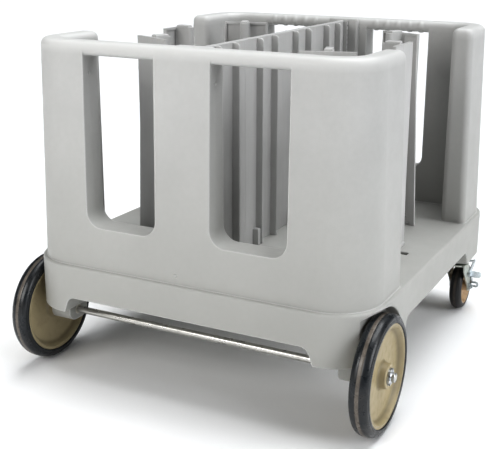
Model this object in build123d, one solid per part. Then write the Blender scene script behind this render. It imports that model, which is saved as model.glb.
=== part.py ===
from build123d import *
from math import acos, atan2, cos, degrees, hypot, radians, sin, tan
import os

os.makedirs("parts", exist_ok=True)

# A four-wheeled cart that carries stacks of plates: a one-piece moulded body with a slab base and
# two C-shaped end walls, a ribbed spine between the walls, six T-shaped towers that slide in slots
# in the deck, two large fixed wheels on a through axle and two swivel casters with side brakes.
# X runs along the axle, +Y from the large wheels to the casters, +Z up. The origin is the middle
# of the footprint, on the floor. All sizes are in millimetres and degrees.

# ---------------------------------------------------------------- driving dimensions

# moulded body
base_width = 832.0
base_depth = 950.0
base_corner_radius = 114.0
deck_height = 271.0
underside_height = 195.0
foot_height = 158.0
foot_width = 112.0
near_foot_length = 235.0
far_foot_length = 206.0
foot_slope = 20.0
foot_hollow_radius = 22.0
foot_corner_radius = 12.0
base_edge_radius = 5.0

# end walls
wall_top = 762.0
wall_ledge = 9.6
wall_thickness = 63.4
wall_draft = 1.4
wall_end = 247.0
wall_end_radius = 15.0
wall_top_radius = 15.0
window_inner_x = 66.0
window_width = 172.0
window_sill = 366.0
rail_height = 29.0
window_corner_radius = 34.0
window_draft = 2.0
rail_edge_radius = 11.0
post_pad_width = 82.0
post_pad_depth = 12.0
post_pad_radius = 5.0
grips_per_rail = 5
grip_radius = 15.0
grip_proud = 3.0
plug_radius = 3.8
plug_lip = 1.0
plug_length = 6.0
plug_head = 1.2
plug_drop = 38.0
plug_front_x = -16.0
plug_front_rise = 19.0

# large wheels and axle
wheel_radius = 127.0
wheel_width = 42.0
wheel_inset = 3.5
axle_inset = 90.0
axle_radius = 8.0
tyre_section = 18.5
wheel_boss_radius = 28.0
wheel_boss_length = 44.0
wheel_web = 9.0
wheel_rim = 6.0
wheel_bush_wall = 3.0
wheel_well_gap = 12.0
wheel_side_gap = 5.0
pylon_width = 52.0
pylon_length = 64.0
pylon_height = 105.0
axle_washer_radius = 18.0
axle_washer = 2.0
push_nut_radius = 16.5
push_nut_length = 12.0
push_nut_flange = 1.6
push_nut_dome_radius = 9.6
push_nut_points = 6
axle_chamfer = 1.2

# swivel casters
caster_side_inset = 36.0
caster_inset = 155.0
caster_trail = 42.0
caster_radius = 63.5
caster_width = 32.0
caster_tyre_section = 15.0
caster_hub_radius = 16.0
caster_web = 7.0
caster_plate_size = 64.0
caster_plate = 4.0
caster_plate_corner = 12.0
caster_bolt_radius = 3.5
caster_bolt_length = 26.0
caster_bolt_head = 4.0
race_radius = 20.5
race_height = 13.0
kingpin_radius = 6.0
kingpin_nut = 3.2
fork_crown = 4.0
fork_crown_radius = 27.0
fork_leg = 3.0
fork_leg_front = 22.0
fork_leg_back = 20.0
fork_leg_depth = 14.0
fork_leg_drop = 18.0
fork_eye_radius = 13.0
fork_gap = 4.5
caster_axle_radius = 5.0
caster_sleeve_wall = 2.5
caster_head_radius = 9.0
caster_head = 5.0

# side brake of each caster
brake_pivot_forward = 14.0
brake_pivot_height = 104.0
brake_plate = 3.0
brake_pin_radius = 3.5
brake_boss_radius = 9.0
brake_shoe_angle = 60.0
brake_shoe_gap = 5.0
brake_shoe_left = 0.5
brake_shoe_length = 27.0
brake_shoe_width = 16.0
brake_arm_end = 6.0
brake_tab_back = 18.0
brake_tab_drop = 6.0
brake_tab_reach = 26.0
brake_tab_width = 18.0
brake_tab_tilt = 35.0
brake_tail_back = 36.0
brake_tail_drop = 31.0
brake_tail_radius = 5.0
brake_eye_width = 16.0
brake_eye_height = 24.0
brake_eye_wall = 4.8

# spine between the end walls
spine_panels = 4
spine_plate = 10.0
spine_fin_reach = 22.0
spine_fin = 6.0
spine_fin_spacing = 76.0
spine_top = 757.0
spine_tongue = 4.0
spine_tongue_length = 8.0
spine_groove_depth = 12.0
spine_lug_height = 40.0
spine_lug_length = 13.0
rack_width = 30.0
rack_thickness = 8.0
rack_teeth = 6
rack_pitch = 13.0
rack_notch = 4.5

# towers
tower_width = 118.0
tower_flange = 9.0
tower_web = 20.0
tower_depth = 52.0
tower_rim = 6.0
tower_pocket = 5.0
tower_top = 750.0
tower_tab = 6.0
tower_foot = 3.0
tower_foot_height = 9.0
tower_gusset = 21.0
tower_gusset_drop = 60.0
tower_gusset_plate = 4.0
tower_travel_in = 70.0
tower_travel_out = 35.0
shoe_width = 18.0
shoe_length = 46.0
shoe_depth = 24.0

# where each tower of one side stands: distance out from the spine, distance along the cart from
# the body's middle, and the turn of its flat face. The other side is the same, turned half round.
near_tower_out = 229.0
near_tower_along = -212.0
near_tower_turn = -25.0
middle_tower_out = 322.0
middle_tower_along = 45.0
middle_tower_turn = -90.0
far_tower_out = 232.0
far_tower_along = 265.0
far_tower_turn = 198.0

# fits
slide_clearance = 0.4
running_clearance = 0.05
seat_gap = 0.3

# ---------------------------------------------------------------- worked-out places

body_y = (wheel_radius - axle_inset) / 2
near_face = body_y - base_depth / 2
far_face = body_y + base_depth / 2
axle_y = near_face + axle_inset
axle_z = wheel_radius
wheel_plane_x = base_width / 2 - wheel_inset
caster_x = base_width / 2 - caster_side_inset
pivot_y = far_face - caster_inset
pivot_z = foot_height - caster_plate - race_height
caster_y = pivot_y + caster_trail
wall_height = wall_top - deck_height
wall_outer_x = base_width / 2 - wall_ledge
wall_outer_y = base_depth / 2 - wall_ledge
wall_inner_y = wall_outer_y - wall_thickness
window_top = wall_top - rail_height
window_middle_x = window_inner_x + window_width / 2
plug_front_height = deck_height + plug_front_rise
post_pad_y = wall_inner_y - post_pad_depth
spine_half = post_pad_y - rack_thickness
tower_places = {
    "near": (-near_tower_out, near_tower_along, near_tower_turn),
    "middle": (-middle_tower_out, middle_tower_along, middle_tower_turn),
    "far": (-far_tower_out, far_tower_along, far_tower_turn),
}
wheel_inner_x = wheel_plane_x - wheel_width / 2
pylon_outer_x = wheel_plane_x - wheel_boss_length / 2 - axle_washer - 2 * seat_gap
tyre_inner = wheel_radius - tyre_section
caster_tyre_inner = caster_radius - caster_tyre_section
leg_inner = caster_width / 2 + fork_gap


# ---------------------------------------------------------------- helpers

def turned(points, corners=None):
    """A solid of revolution about local Z. points are (radius, height); corners rounds them by index."""
    face = make_face(Polyline(*[(r, 0, z) for r, z in points], close=True))
    for place, radius in (corners or {}).items():
        r, z = points[place]
        vertex = face.vertices().sort_by_distance((r, 0, z))[0]
        face = fillet(vertex, radius)
    return revolve(face, Axis.Z)


def along_x(solid, x, y, z):
    """Turn a solid made about local Z so that it runs along +X, and put it at x, y, z."""
    return Pos(x, y, z) * Rot(0, 90, 0) * solid


def ring(outer, inner, height, z=0.0):
    """A washer or tube on local Z that stands on height z."""
    return Pos(0, 0, z + height / 2) * (Cylinder(outer, height) - Cylinder(inner, height * 2))


def block(x0, x1, y0, y1, z0, z1):
    """A box from its two corners."""
    size = (abs(x1 - x0), abs(y1 - y0), abs(z1 - z0))
    return Pos((x0 + x1) / 2, (y0 + y1) / 2, (z0 + z1) / 2) * Box(*size)


def mirrored(solid):
    """The other-hand copy, across the cart's middle plane."""
    return mirror(solid, about=Plane.YZ)


def upright_edges(solid, tolerance=4.0):
    """The edges that run within a few degrees of vertical."""
    return [e for e in solid.edges() if e.bounding_box().size.Z > e.length * cos(radians(tolerance))]


# ---------------------------------------------------------------- moulded body

def foot(length, toward_y, side):
    """A corner foot before the outline is cut: it drops below the underside with sloping inner sides."""
    rise = (deck_height - foot_height) / 2
    slope = tan(radians(foot_slope))
    outer_x = base_width / 2 + base_corner_radius
    outer_y = base_depth / 2 + base_corner_radius
    sections = []
    for height in (foot_height, underside_height + rise):
        x0 = base_width / 2 - foot_width - (height - foot_height) * slope
        y0 = base_depth / 2 - length - (height - foot_height) * slope
        middle = Pos(side * (x0 + outer_x) / 2, toward_y * (y0 + outer_y) / 2, height)
        corner = Rectangle(outer_x - x0, outer_y - y0)
        inner = corner.vertices().sort_by_distance((-side * outer_x, -toward_y * outer_y, 0))[0]
        sections.append(middle * fillet(inner, foot_corner_radius))
    return loft(sections)


def hollow_edges(solid):
    """The edges where the feet leave the flat underside, before the outline is cut."""
    edges = []
    for edge in solid.edges():
        middle = edge.center()
        level = edge.bounding_box().size.Z < 0.01 and abs(middle.Z - underside_height) < 0.01
        inside = abs(middle.X) < base_width / 2 + base_corner_radius - 1
        inside = inside and abs(middle.Y) < base_depth / 2 + base_corner_radius - 1
        if level and inside:
            edges.append(edge)
    return edges


def base():
    """The slab, its four feet and the two pylons that carry the axle, around the body's middle."""
    over = base_corner_radius
    solid = block(
        -base_width / 2 - over, base_width / 2 + over, -base_depth / 2 - over, base_depth / 2 + over,
        underside_height, deck_height + over,
    )
    feet = []
    for side in (-1, 1):
        feet.append(foot(near_foot_length, -1, side))
        feet.append(foot(far_foot_length, 1, side))
    solid = solid.fuse(*feet)
    solid = fillet(hollow_edges(solid), foot_hollow_radius)
    outline = RectangleRounded(base_width, base_depth, base_corner_radius)
    solid &= extrude(Pos(0, 0, foot_height) * outline, deck_height - foot_height)
    solid = fillet(solid.faces().sort_by(Axis.Z)[-1].edges(), base_edge_radius)
    for side in (-1, 1):
        solid -= wheel_well(side)
        solid += pylon(side)
    return solid


def pylon(side):
    """The block under the base that holds one end of the axle, in the body's own frame."""
    y = axle_y - body_y
    width = pylon_width
    x = side * (pylon_outer_x - width / 2)
    top = underside_height + 10
    shape = Pos(x, y, (top + pylon_height) / 2) * Box(width, pylon_length, top - pylon_height)
    low = shape.faces().sort_by(Axis.Z)[0].edges().filter_by(Axis.X)
    shape = fillet(low, pylon_length / 3)
    return shape - along_x(Cylinder(axle_radius + bush_wall(), width * 2), x, y, axle_z)


def bush_wall():
    """The wall of the bush that lines a pylon's bore, the same as the wheel's own bush."""
    return wheel_bush_wall


def wheel_well(side):
    """The round pocket in the near corner that the large wheel turns in."""
    y = axle_y - body_y
    radius = wheel_radius + wheel_well_gap
    inner = wheel_inner_x - wheel_side_gap
    reach = base_width / 2 - inner + base_corner_radius
    return along_x(Cylinder(radius, reach), side * (inner + reach / 2), y, axle_z)


def end_wall(toward):
    """One C-shaped end wall with its two windows. toward is -1 for the near wall, +1 for the far."""
    corner = base_corner_radius - wall_ledge
    outer = RectangleRounded(2 * wall_outer_x, 2 * wall_outer_y, corner)
    solid = extrude(Pos(0, 0, deck_height) * outer, wall_height, taper=wall_draft)
    inner_radius = max(corner - wall_thickness, wall_thickness / 10)
    inner = RectangleRounded(2 * (wall_outer_x - wall_thickness), 2 * wall_inner_y, inner_radius)
    solid -= extrude(Pos(0, 0, deck_height - 1) * inner, wall_height + 2)
    solid &= block(
        -2 * wall_outer_x, 2 * wall_outer_x, toward * wall_end, toward * 2 * wall_outer_y, deck_height, wall_top,
    )
    ends = [e for e in upright_edges(solid) if abs(abs(e.center().Y) - wall_end) < 1]
    solid = fillet(ends, wall_end_radius)
    solid = fillet(solid.faces().sort_by(Axis.Z)[-1].edges(), wall_top_radius)
    middle_y = toward * (wall_outer_y - wall_thickness / 2)
    for side in (-1, 1):
        solid -= window(side * window_middle_x, middle_y)
    return round_windows(solid, middle_y)


def window(x, y):
    """The cutter of one window: square top corners, round bottom corners, drafted both ways."""
    height = window_top - window_sill
    outline = Rectangle(window_width, height)
    low = outline.vertices().sort_by(Axis.Y)[:2]
    outline = fillet(low, window_corner_radius)
    cutter = []
    for direction in (-1, 1):
        plane = Plane(origin=(x, y, (window_top + window_sill) / 2), x_dir=(1, 0, 0), z_dir=(0, -1, 0))
        half = extrude(plane * outline, wall_thickness, dir=(0, direction, 0), taper=-window_draft)
        cutter.append(half)
    return cutter[0].fuse(cutter[1])


def round_windows(solid, middle_y):
    """Round the underside of the rail above each window, on both sides of the wall."""
    tops = []
    for edge in solid.edges():
        middle = edge.center()
        over_window = abs(abs(middle.X) - window_middle_x) < window_width / 2
        along = edge.bounding_box().size.X > window_width / 2
        if over_window and along and abs(middle.Z - window_top) < 10 and abs(middle.Y - middle_y) > wall_thickness / 5:
            tops.append(edge)
    return fillet(tops, rail_edge_radius)


def post_pad(toward):
    """The flat pad on the inner side of a centre post, which the rack is held against."""
    y0 = toward * (wall_inner_y + wall_thickness / 2)
    y1 = toward * post_pad_y
    pad = block(-post_pad_width / 2, post_pad_width / 2, y0, y1, deck_height - 1, wall_top - 1)
    inner = [e for e in upright_edges(pad) if abs(e.center().Y - y1) < 1]
    pad = fillet(inner, post_pad_radius)
    top = [e for e in pad.faces().sort_by(Axis.Z)[-1].edges() if abs(e.center().Y) < abs(y0) - 1]
    return fillet(top, post_pad_radius / 2)


def grips(toward):
    """The finger grips on the inner side of the two rails of one wall."""
    y = toward * wall_inner_y
    bumps = []
    pitch = window_width / (grips_per_rail + 0.5)
    for side in (-1, 1):
        for i in range(grips_per_rail):
            x = side * window_middle_x + (i - (grips_per_rail - 1) / 2) * pitch
            centre = Pos(x, y + toward * (grip_radius - grip_proud), wall_top - rail_height / 2 - 1)
            bumps.append(centre * Sphere(grip_radius))
    return bumps


def tower_frames():
    """The place of each tower on the deck as a Location whose local +Y is the way it slides in."""
    frames = {}
    for name, (x, y, turn) in tower_places.items():
        frames["left_" + name] = Pos(x, y, deck_height) * Rot(0, 0, turn)
        frames["right_" + name] = Pos(-x, -y, deck_height) * Rot(0, 0, turn + 180)
    return frames


def tower_slot():
    """The slot that a tower's shoe slides in, in the tower's own frame with the deck at zero."""
    width = shoe_width + 2 * slide_clearance
    start = shoe_start() - tower_travel_out - slide_clearance - 1
    end = shoe_start() + shoe_length + tower_travel_in + slide_clearance + 1
    depth = shoe_depth + 2
    return block(-width / 2, width / 2, start, end, -depth, 5)


def shoe_start():
    """Where the shoe begins along the tower's web."""
    return tower_flange / 2


def vent_plug_frames():
    """The place of each vent plug as a Location whose local +Z points out of the body."""
    jamb_y = wall_thickness / 2 - wall_outer_y
    frames = []
    for x in (-window_inner_x - window_width, window_inner_x):
        frames.append(Pos(x + 0.1, jamb_y, window_top - plug_drop) * Rot(0, 90, 0))
    lean = (plug_front_height - deck_height) * tan(radians(wall_draft))
    face = Pos(plug_front_x, lean - wall_outer_y - 0.05, plug_front_height) * Rot(90 - wall_draft, 0, 0)
    return frames + [face]


def vent_plug():
    """A small round plug with a thin head, standing on local Z = 0."""
    stem = ring_solid(plug_radius - plug_lip, plug_length, -plug_length)
    head = turned([(0, 0), (plug_radius, 0), (plug_radius - 0.5, plug_head), (0, plug_head)])
    return stem + head


def ring_solid(radius, height, z):
    """A plain round bar on local Z that stands on height z."""
    return Pos(0, 0, z + height / 2) * Cylinder(radius, height)


def cart_body():
    solid = base()
    for toward in (-1, 1):
        solid += end_wall(toward)
        solid += post_pad(toward)
    solid = solid.fuse(*grips(1))
    groove = spine_plate / 2 + slide_clearance
    solid -= block(-groove, groove, -spine_half, spine_half, deck_height - spine_groove_depth - 1, deck_height + 5)
    for frame in tower_frames().values():
        solid -= frame * tower_slot()
    for frame in vent_plug_frames():
        solid -= frame * Cylinder(plug_radius - plug_lip + 0.02, 2 * plug_length + 1)
    for side in (-1, 1):
        for x, y in caster_bolt_places():
            hole = Pos(side * x, y - body_y, foot_height) * Cylinder(caster_bolt_radius + 0.1, 2 * caster_bolt_length)
            solid -= hole
    return Pos(0, body_y, 0) * solid


# ---------------------------------------------------------------- axle and large wheels

def axle_half_length():
    return wheel_plane_x + wheel_boss_length / 2 + axle_washer + 2 * seat_gap + push_nut_length


def axle_shaft():
    length = 2 * axle_half_length()
    shaft = Cylinder(axle_radius, length - 2 * axle_chamfer)
    shaft = chamfer(shaft.edges(), axle_chamfer)
    return along_x(shaft, 0, axle_y, axle_z)


def axle_bush(side):
    """A flanged liner in a pylon's bore."""
    bore = axle_radius + running_clearance
    outer = axle_radius + bush_wall() - running_clearance
    tube = ring(outer, bore, pylon_width, -pylon_width / 2)
    return along_x(tube, side * (pylon_outer_x - pylon_width / 2), axle_y, axle_z)


def axle_washers():
    """A washer on each side of each large wheel."""
    washers = []
    for side in (-1, 1):
        for end in (-1, 1):
            offset = wheel_boss_length / 2 + seat_gap + axle_washer / 2
            x = side * wheel_plane_x + end * offset
            flat = ring(axle_washer_radius, axle_radius + running_clearance, axle_washer, -axle_washer / 2)
            washers.append(along_x(flat, x, axle_y, axle_z))
    return Compound(washers)


def push_nut(side):
    """The pressed cap nut on an axle end: a flange, a dome and a ring of raised points."""
    start = wheel_plane_x + wheel_boss_length / 2 + axle_washer + 2 * seat_gap
    bore = axle_radius + running_clearance
    dome = push_nut_dome_radius
    end = push_nut_length - axle_chamfer
    profile = [
        (bore, 0), (push_nut_radius, 0), (push_nut_radius, push_nut_flange), (dome + 1, push_nut_flange + 0.8),
        (dome, push_nut_flange + 2), (dome, end - 1), (dome - 0.8, end), (bore, end),
    ]
    nut = turned(profile)
    for i in range(push_nut_points):
        point = Pos(push_nut_radius - 1, 0, push_nut_flange) * Box(5.2, 3.4, 2.4)
        nut += Rot(0, 0, 360 / push_nut_points * (i + 0.5)) * point
    return along_x(nut, start, axle_y, axle_z) if side > 0 else mirrored(along_x(nut, start, axle_y, axle_z))


def wheel_hub():
    """The moulded centre of a large wheel: rim band, dished web on both sides and boss."""
    half = wheel_width / 2 - 2
    boss = wheel_boss_length / 2
    web = wheel_web / 2
    bore = axle_radius + wheel_bush_wall
    inner_rim = tyre_inner - wheel_rim
    profile = [
        (bore, boss), (wheel_boss_radius - 2, boss), (wheel_boss_radius, web + 2), (inner_rim - 4, web),
        (inner_rim, half), (tyre_inner - 2, half), (tyre_inner, half - 2),
    ]
    profile += [(r, -z) for r, z in reversed(profile)]
    last = len(profile) - 1
    rounds = {2: 7.0, 3: 9.0, last - 2: 7.0, last - 3: 9.0}
    hub = turned(profile, rounds)
    return hub


def wheel_tyre():
    """The solid tyre, a rounded tread on a flat seat."""
    half = wheel_width / 2
    seat = tyre_inner + running_clearance
    lip = seat + tyre_section / 5
    shoulder = wheel_radius - tyre_section * 0.6
    crown = half - wheel_width * 0.28
    profile = [
        (seat, half - 2), (lip, half), (shoulder, half), (wheel_radius, crown),
        (wheel_radius, -crown), (shoulder, -half), (lip, -half), (seat, -half + 2),
    ]
    side_round = tyre_section * 0.35
    tread_round = tyre_section * 0.45
    return turned(profile, {2: side_round, 3: tread_round, 4: tread_round, 5: side_round})


def wheel_bush():
    """The plain bearing pressed in a large wheel's boss."""
    outer = axle_radius + wheel_bush_wall - running_clearance
    return ring(outer, axle_radius + running_clearance, wheel_boss_length - 0.4, -wheel_boss_length / 2 + 0.2)


# ---------------------------------------------------------------- swivel casters

def caster_bolt_places():
    """The four bolt places of the right caster's plate, in the cart's frame."""
    reach = caster_plate_size / 2 - caster_plate_corner + 3
    return [(caster_x + i * reach, pivot_y + j * reach) for i in (-1, 1) for j in (-1, 1)]


def caster_bolts():
    """Hexagon-headed bolts that hold both caster plates up against the feet."""
    bolts = []
    head_z = foot_height - caster_plate
    for side in (-1, 1):
        for x, y in caster_bolt_places():
            hexagon = Pos(side * x, y, head_z - seat_gap) * RegularPolygon(caster_bolt_radius * 1.7, 6)
            head = extrude(hexagon, -caster_bolt_head)
            shank = Pos(side * x, y, 0) * ring_solid(caster_bolt_radius - 0.1, caster_bolt_length, head_z - seat_gap)
            bolts.append(head + shank)
    return Compound(bolts)


def caster_top_plate():
    plate = extrude(
        Pos(caster_x, pivot_y, foot_height - caster_plate)
        * RectangleRounded(caster_plate_size, caster_plate_size, caster_plate_corner),
        caster_plate - 0.02,
    )
    for x, y in caster_bolt_places():
        plate -= Pos(x, y, foot_height) * Cylinder(caster_bolt_radius + 0.1, 20)
    return plate - Pos(caster_x, pivot_y, foot_height) * Cylinder(kingpin_radius + running_clearance, 20)


def caster_race():
    """The pressed double ball race between the top plate and the fork."""
    top = race_height - 0.02
    bore = kingpin_radius + running_clearance
    profile = [
        (bore, 0.3), (race_radius - 6, 0.3), (race_radius, 3.5), (race_radius, 8), (race_radius - 4, top), (bore, top),
    ]
    return Pos(caster_x, pivot_y, pivot_z) * turned(profile, {2: 1.5, 3: 2.0})


def caster_kingpin():
    """The bolt that the fork turns on, with its nut below the crown."""
    low = pivot_z - fork_crown - seat_gap
    pin = ring_solid(kingpin_radius, foot_height - low - 1, low)
    nut = extrude(Pos(0, 0, low) * RegularPolygon(kingpin_radius * 1.5, 6), -kingpin_nut)
    return Pos(caster_x, pivot_y, 0) * (pin + nut)


def caster_fork():
    """The stamped fork: round crown and two legs that lean back from the kingpin to the wheel."""
    crown = Pos(0, pivot_y, pivot_z) * ring_solid(fork_crown_radius, fork_crown, -fork_crown)
    bridge_y = pivot_y + (fork_leg_back - fork_leg_front) / 2
    half = leg_inner + fork_leg
    bridge = Pos(0, bridge_y, pivot_z - fork_crown / 2) * Box(2 * half, fork_leg_back + fork_leg_front, fork_crown)
    fork = crown + bridge
    for side in (-1, 1):
        fork += side_leg(side)
    long = 4 * leg_inner
    fork -= Pos(0, pivot_y, pivot_z) * Cylinder(kingpin_radius + running_clearance, long)
    fork -= along_x(Cylinder(caster_axle_radius + running_clearance, long), 0, caster_y, caster_radius)
    fork -= along_x(Cylinder(brake_pin_radius + running_clearance, long), 0, brake_y(), brake_pivot_height)
    return Pos(caster_x, 0, 0) * fork


def side_leg(side):
    """One leg of the fork, drawn in the YZ plane and as thick as the stamping."""
    top = pivot_z - 0.5
    front = pivot_y - fork_leg_front
    plane = Plane(origin=(side * leg_inner, 0, 0), x_dir=(0, 1, 0), z_dir=(1, 0, 0))
    outline = make_face(Polyline(
        (front, top), (pivot_y + fork_leg_back, top), (caster_y, brake_pivot_height),
        (caster_y + fork_leg_depth, caster_radius + fork_leg_depth), (caster_y + fork_eye_radius - 1, caster_radius - 2),
        (caster_y - fork_eye_radius, caster_radius - 2), (front, top - fork_leg_drop), close=True,
    ))
    corners = outline.vertices().sort_by(Axis.Y)[:-2]
    outline = fillet(corners, fork_leg_depth / 4)
    outline += Pos(caster_y, caster_radius) * Circle(fork_eye_radius)
    return extrude(plane * outline, side * fork_leg)


def caster_hub():
    """The moulded centre of a caster wheel."""
    half = caster_width / 2 - 1
    boss = leg_inner - seat_gap
    bore = caster_axle_radius + caster_sleeve_wall + running_clearance
    inner_rim = caster_tyre_inner - 5
    profile = [
        (bore, boss), (caster_hub_radius - 2, boss), (caster_hub_radius, caster_web / 2 + 1), (inner_rim - 2, caster_web / 2),
        (inner_rim, half), (caster_tyre_inner, half),
    ]
    profile += [(r, -z) for r, z in reversed(profile)]
    last = len(profile) - 1
    return turned(profile, {2: 3.0, 3: 4.0, last - 2: 3.0, last - 3: 4.0})


def caster_tyre():
    half = caster_width / 2
    seat = caster_tyre_inner + running_clearance
    profile = [
        (seat, half - 1), (seat + 3, half), (caster_radius - 6, half), (caster_radius, half - 7),
        (caster_radius, -half + 7), (caster_radius - 6, -half), (seat + 3, -half), (seat, -half + 1),
    ]
    return turned(profile, {2: 4.0, 3: 5.0, 4: 5.0, 5: 4.0})


def caster_sleeve():
    """The spacer tube that the caster wheel runs on, held between the legs."""
    length = 2 * leg_inner - 0.1
    return ring(caster_axle_radius + caster_sleeve_wall, caster_axle_radius + running_clearance, length, -length / 2)


def caster_axle_bolt():
    """The axle bolt, its head against the inner leg."""
    outside = leg_inner + fork_leg + seat_gap
    head = extrude(Pos(0, 0, -outside) * RegularPolygon(caster_head_radius, 6), -caster_head)
    shank = ring_solid(caster_axle_radius, 2 * outside + caster_head + 5, -outside)
    return head + shank


def caster_axle_nut():
    outside = leg_inner + fork_leg + seat_gap
    nut = extrude(Pos(0, 0, outside) * RegularPolygon(caster_head_radius, 6), caster_head + 1)
    return nut - Cylinder(caster_axle_radius + running_clearance, 4 * outside)


def brake_y():
    return caster_y - brake_pivot_forward


def brake_swing():
    """The turn in degrees that brings the shoe from its rest gap to just off the tread."""
    rise = brake_pivot_height - caster_radius
    angle = radians(brake_shoe_angle)
    start = caster_radius + brake_shoe_gap
    arm_y = start * cos(angle) + brake_pivot_forward
    arm_z = start * sin(angle) - rise
    arm = hypot(arm_y, arm_z)
    centre = hypot(brake_pivot_forward, rise)
    end = caster_radius + brake_shoe_left
    turn_start = acos((arm ** 2 + centre ** 2 - start ** 2) / (2 * arm * centre))
    turn_end = acos((arm ** 2 + centre ** 2 - end ** 2) / (2 * arm * centre))
    return degrees(turn_start - turn_end)


def strap(start, start_radius, end, end_radius):
    """A flat link in the YZ plane between two round ends, given as (y, z)."""
    circles = (Pos(*start) * Circle(start_radius)).edges() + (Pos(*end) * Circle(end_radius)).edges()
    return make_hull(circles)


def brake_lever():
    """The side lever: a plate on the outer leg with a shoe over the tread, a tab and a tail with an eye."""
    inner = leg_inner + fork_leg + seat_gap
    plane = Plane(origin=(inner, 0, 0), x_dir=(0, 1, 0), z_dir=(1, 0, 0))
    angle = radians(brake_shoe_angle)
    reach = caster_radius + brake_shoe_gap + brake_plate / 2
    pivot = (brake_y(), brake_pivot_height)
    shoe_at = (caster_y + reach * cos(angle), caster_radius + reach * sin(angle))
    tab_at = (brake_y() + brake_tab_back, brake_pivot_height - brake_tab_drop)
    tail_at = (brake_y() + brake_tail_back, brake_pivot_height - brake_tail_drop)
    outline = strap(pivot, brake_boss_radius, shoe_at, brake_arm_end)
    outline += strap(pivot, brake_boss_radius, tab_at, brake_arm_end)
    outline += strap(tab_at, brake_tail_radius, tail_at, brake_tail_radius)
    plate = extrude(plane * outline, brake_plate)
    across = inner + brake_plate / 2 + brake_shoe_length / 2
    shoe = Box(across, brake_shoe_width, brake_plate)
    shoe = fillet(shoe.edges().filter_by(Axis.Z).sort_by(Axis.X)[:2], brake_shoe_width / 5)
    plate += Pos(inner + brake_plate - across / 2, *shoe_at) * Rot(brake_shoe_angle - 90, 0, 0) * shoe
    tab = Box(brake_plate + brake_tab_reach, brake_tab_width, brake_plate)
    tab = fillet(tab.edges().filter_by(Axis.Z).sort_by(Axis.X)[-2:], brake_tab_width / 3)
    plate += Pos(inner + (brake_plate + brake_tab_reach) / 2, *tab_at) * Rot(brake_tab_tilt, 0, 0) * tab
    eye = RectangleRounded(brake_eye_width, brake_eye_height, brake_eye_width * 0.45)
    hole_width = brake_eye_width - 2 * brake_eye_wall
    eye -= RectangleRounded(hole_width, brake_eye_height - 2 * brake_eye_wall, hole_width * 0.45)
    flat = Plane(origin=(inner + brake_eye_width / 2, tail_at[0], tail_at[1] - brake_eye_height / 2 + 2), z_dir=(0, 1, 0))
    plate += extrude(flat * eye, brake_plate / 2, both=True)
    plate -= along_x(Cylinder(brake_pin_radius + running_clearance, 4 * inner), 0, *pivot)
    return Pos(caster_x, 0, 0) * plate


def brake_pin():
    """The rivet that the brake lever turns on."""
    inner = leg_inner - 1.5
    outer = leg_inner + fork_leg + brake_plate + 2 * seat_gap
    pin = ring_solid(brake_pin_radius, outer - inner, inner)
    pin += ring_solid(brake_pin_radius + 2.5, 1.8, outer)
    pin += ring_solid(brake_pin_radius + 1.2, 1.2, inner - 0.9)
    return along_x(pin, caster_x, brake_y(), brake_pivot_height)


# ---------------------------------------------------------------- spine

def spine_length():
    return (2 * spine_half - 2 * seat_gap) / spine_panels


def spine_panel(index):
    """One of the interlocking panels: a plate with two fins, a tongue at one end and a groove at the other."""
    length = spine_length()
    foot_z = deck_height - spine_groove_depth
    body = block(-spine_plate / 2, spine_plate / 2, -length / 2, length / 2 - seat_gap, foot_z, spine_top)
    top = [e for e in body.faces().sort_by(Axis.Z)[-1].edges().filter_by(Axis.Y)]
    body = fillet(top, spine_plate * 0.35)
    fin_foot = deck_height + seat_gap
    for end in (-1, 1):
        y = end * spine_fin_spacing / 2
        fin = block(-spine_fin_reach, spine_fin_reach, y - spine_fin / 2, y + spine_fin / 2, fin_foot, spine_top - 2)
        fin = fillet(fin.edges().filter_by(Axis.Y).sort_by(Axis.Z)[-2:], 9)
        fin = fillet(upright_edges(fin), spine_fin * 0.4)
        body += fin
    lug_y = -spine_fin_spacing / 2 - spine_fin - spine_lug_length
    for side in (-1, 1):
        lug = block(
            side * spine_plate / 2 - side, side * (spine_fin_reach - 3), lug_y, lug_y + spine_lug_length,
            fin_foot, fin_foot + spine_lug_height,
        )
        body += chamfer(lug.faces().sort_by(Axis.Z)[-1].edges(), 2)
    if index < spine_panels - 1:
        tongue_end = length / 2 - seat_gap + spine_tongue_length
        body += block(-spine_tongue / 2, spine_tongue / 2, length / 2 - 1, tongue_end, foot_z + 6, spine_top - 8)
    if index > 0:
        wide = spine_tongue / 2 + slide_clearance
        depth = -length / 2 + spine_tongue_length + slide_clearance
        body -= block(-wide, wide, -length / 2 - 1, depth, foot_z - 1, spine_top - 8 + slide_clearance)
    middle = -spine_half + seat_gap + (index + 0.5) * length
    return Pos(0, body_y + middle, 0) * body


def spine_rack(toward):
    """The notched strip on a centre post that holds the end of the spine."""
    y0 = post_pad_y * toward
    y1 = spine_half * toward
    low = deck_height + seat_gap
    strip = block(-rack_width / 2, rack_width / 2, y0 - 0.02 * toward, y1, low, spine_top - 2)
    for i in range(rack_teeth):
        z = spine_top - 12 - i * rack_pitch
        for side in (-1, 1):
            x0 = side * (rack_width / 2 - rack_notch)
            strip -= block(x0, side * (rack_width / 2 + 1), y0 - toward, y1 + toward, z - rack_notch, z)
    return Pos(0, body_y, 0) * strip


# ---------------------------------------------------------------- towers

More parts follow.
